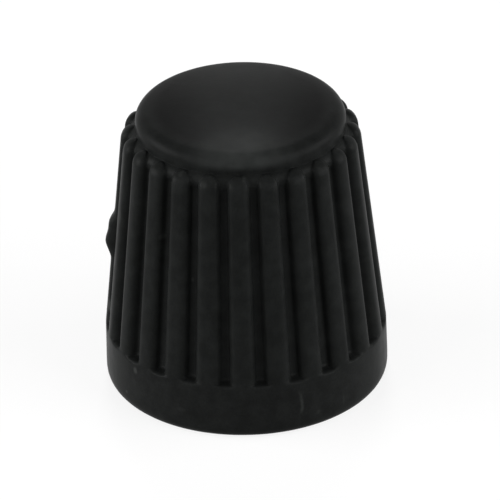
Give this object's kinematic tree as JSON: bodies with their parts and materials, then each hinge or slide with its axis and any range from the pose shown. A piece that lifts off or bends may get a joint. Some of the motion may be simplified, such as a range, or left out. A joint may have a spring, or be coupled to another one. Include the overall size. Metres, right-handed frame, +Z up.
{
  "type": "tyre valve cap",
  "caption": "Black moulded dust cap for a tyre valve: tapered ribbed grip under a shallow domed crown, plain collar, threaded bore open at the foot.",
  "frame": {"origin": "middle of the open mouth, on the plane of the foot", "axes": "+Z up along the cap's axis, through the crown; -Y is the front, towards the picture's camera; the torn gate mark lies at -X"},
  "size_m": [0.0106, 0.0106, 0.0115],
  "materials": {
    "black_plastic": "fine matt moulded surface, a little handled"
  },
  "bodies": {
    "root": {"cap": "black_plastic"}
  },
  "joints": []
}
